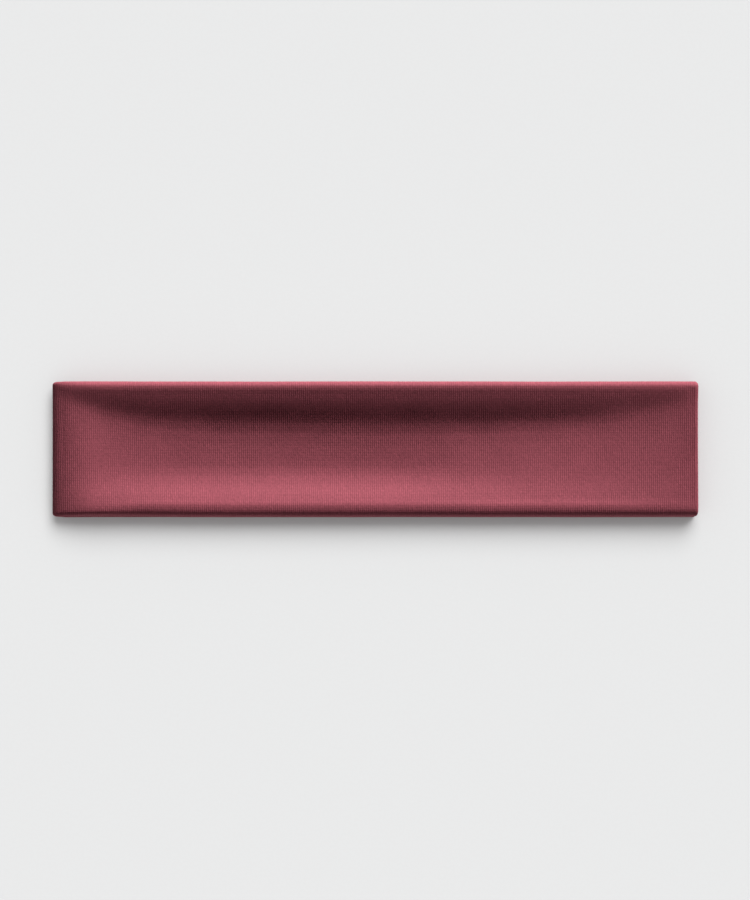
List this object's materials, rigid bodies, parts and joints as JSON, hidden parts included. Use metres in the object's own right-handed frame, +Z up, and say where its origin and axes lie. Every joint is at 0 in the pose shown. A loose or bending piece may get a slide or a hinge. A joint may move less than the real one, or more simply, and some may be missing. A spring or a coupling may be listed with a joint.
{
  "type": "sports headband",
  "caption": "Wide stretch knit sports headband, a closed loop laid flat, with rolled edges, a lining and a sewn closing seam.",
  "frame": {"origin": "centre of the footprint, on the plane the band lies on", "axes": "+X along the flat band, from the pressed fold to the closing seam; +Y across the band; +Z up"},
  "size_m": [0.24, 0.0506, 0.0092],
  "materials": {
    "outer_knit": "fine ribbed knit, matte with a slight sheen",
    "lining_knit": "brushed knit, matte",
    "elastic": "woven elastic tape",
    "thread": "polyester thread",
    "label": "plain woven tape, blank"
  },
  "bodies": {
    "back_1": {"outer_fabric_back_1": "outer_knit", "lining_back_1": "lining_knit", "edge_elastic_back_1": "elastic", "hem_stitching_back_1": "thread"},
    "back_2": {"outer_fabric_back_2": "outer_knit", "lining_back_2": "lining_knit", "edge_elastic_back_2": "elastic", "hem_stitching_back_2": "thread"},
    "back_3": {"outer_fabric_back_3": "outer_knit", "lining_back_3": "lining_knit", "edge_elastic_back_3": "elastic", "hem_stitching_back_3": "thread"},
    "back_4": {"outer_fabric_back_4": "outer_knit", "lining_back_4": "lining_knit", "edge_elastic_back_4": "elastic", "hem_stitching_back_4": "thread"},
    "back_5": {"outer_fabric_back_5": "outer_knit", "lining_back_5": "lining_knit", "edge_elastic_back_5": "elastic", "hem_stitching_back_5": "thread"},
    "back_6": {"outer_fabric_back_6": "outer_knit", "lining_back_6": "lining_knit", "edge_elastic_back_6": "elastic", "hem_stitching_back_6": "thread"},
    "back_7": {"outer_fabric_back_7": "outer_knit", "lining_back_7": "lining_knit", "edge_elastic_back_7": "elastic", "hem_stitching_back_7": "thread", "closing_seam_thread": "thread", "care_label": "label"},
    "front_1": {"outer_fabric_front_1": "outer_knit", "lining_front_1": "lining_knit", "edge_elastic_front_1": "elastic", "hem_stitching_front_1": "thread"},
    "front_2": {"outer_fabric_front_2": "outer_knit", "lining_front_2": "lining_knit", "edge_elastic_front_2": "elastic", "hem_stitching_front_2": "thread"},
    "front_3": {"outer_fabric_front_3": "outer_knit", "lining_front_3": "lining_knit", "edge_elastic_front_3": "elastic", "hem_stitching_front_3": "thread"},
    "front_4": {"outer_fabric_front_4": "outer_knit", "lining_front_4": "lining_knit", "edge_elastic_front_4": "elastic", "hem_stitching_front_4": "thread"},
    "front_5": {"outer_fabric_front_5": "outer_knit", "lining_front_5": "lining_knit", "edge_elastic_front_5": "elastic", "hem_stitching_front_5": "thread"},
    "front_6": {"outer_fabric_front_6": "outer_knit", "lining_front_6": "lining_knit", "edge_elastic_front_6": "elastic", "hem_stitching_front_6": "thread"},
    "front_7": {"outer_fabric_front_7": "outer_knit", "lining_front_7": "lining_knit", "edge_elastic_front_7": "elastic", "hem_stitching_front_7": "thread"}
  },
  "joints": [
    {"name": "loop_open", "type": "hinge", "parent": "back_4", "child": "back_3", "pos_m": [-0.0148, 0, 0.0046], "axis": [0, 1, 0], "range_deg": [0, 22]},
    {"name": "back_bend_2", "type": "hinge", "parent": "back_3", "child": "back_2", "pos_m": [-0.0482, 0, 0.0046], "axis": [0, 1, 0], "range_deg": [0, 22]},
    {"name": "back_bend_1", "type": "hinge", "parent": "back_2", "child": "back_1", "pos_m": [-0.0816, 0, 0.0046], "axis": [0, 1, 0], "range_deg": [0, 22]},
    {"name": "fold", "type": "hinge", "parent": "back_1", "child": "front_1", "pos_m": [-0.115, 0, 0.0046], "axis": [0, -1, 0], "range_deg": [0, 132]},
    {"name": "back_bend_4", "type": "hinge", "parent": "back_4", "child": "back_5", "pos_m": [0.0186, 0, 0.0046], "axis": [0, -1, 0], "range_deg": [0, 22]},
    {"name": "back_bend_5", "type": "hinge", "parent": "back_5", "child": "back_6", "pos_m": [0.052, 0, 0.0046], "axis": [0, -1, 0], "range_deg": [0, 22]},
    {"name": "back_bend_6", "type": "hinge", "parent": "back_6", "child": "back_7", "pos_m": [0.0854, 0, 0.0046], "axis": [0, -1, 0], "range_deg": [0, 22]},
    {"name": "front_bend_1", "type": "hinge", "parent": "front_1", "child": "front_2", "pos_m": [-0.0816, 0, 0.0046], "axis": [0, 1, 0], "range_deg": [0, 22]},
    {"name": "front_bend_2", "type": "hinge", "parent": "front_2", "child": "front_3", "pos_m": [-0.0482, 0, 0.0046], "axis": [0, 1, 0], "range_deg": [0, 22]},
    {"name": "front_bend_3", "type": "hinge", "parent": "front_3", "child": "front_4", "pos_m": [-0.0148, 0, 0.0046], "axis": [0, 1, 0], "range_deg": [0, 22]},
    {"name": "front_bend_4", "type": "hinge", "parent": "front_4", "child": "front_5", "pos_m": [0.0186, 0, 0.0046], "axis": [0, 1, 0], "range_deg": [0, 22]},
    {"name": "front_bend_5", "type": "hinge", "parent": "front_5", "child": "front_6", "pos_m": [0.052, 0, 0.0046], "axis": [0, 1, 0], "range_deg": [0, 22]},
    {"name": "front_bend_6", "type": "hinge", "parent": "front_6", "child": "front_7", "pos_m": [0.0854, 0, 0.0046], "axis": [0, 1, 0], "range_deg": [0, 22]}
  ],
  "couplings": [
    {"joint": "back_bend_2", "follows": "loop_open", "ratio": 1},
    {"joint": "back_bend_1", "follows": "loop_open", "ratio": 1},
    {"joint": "fold", "follows": "loop_open", "ratio": 6},
    {"joint": "back_bend_4", "follows": "loop_open", "ratio": 1},
    {"joint": "back_bend_5", "follows": "loop_open", "ratio": 1},
    {"joint": "back_bend_6", "follows": "loop_open", "ratio": 1},
    {"joint": "front_bend_1", "follows": "loop_open", "ratio": 1},
    {"joint": "front_bend_2", "follows": "loop_open", "ratio": 1},
    {"joint": "front_bend_3", "follows": "loop_open", "ratio": 1},
    {"joint": "front_bend_4", "follows": "loop_open", "ratio": 1},
    {"joint": "front_bend_5", "follows": "loop_open", "ratio": 1},
    {"joint": "front_bend_6", "follows": "loop_open", "ratio": 1}
  ]
}
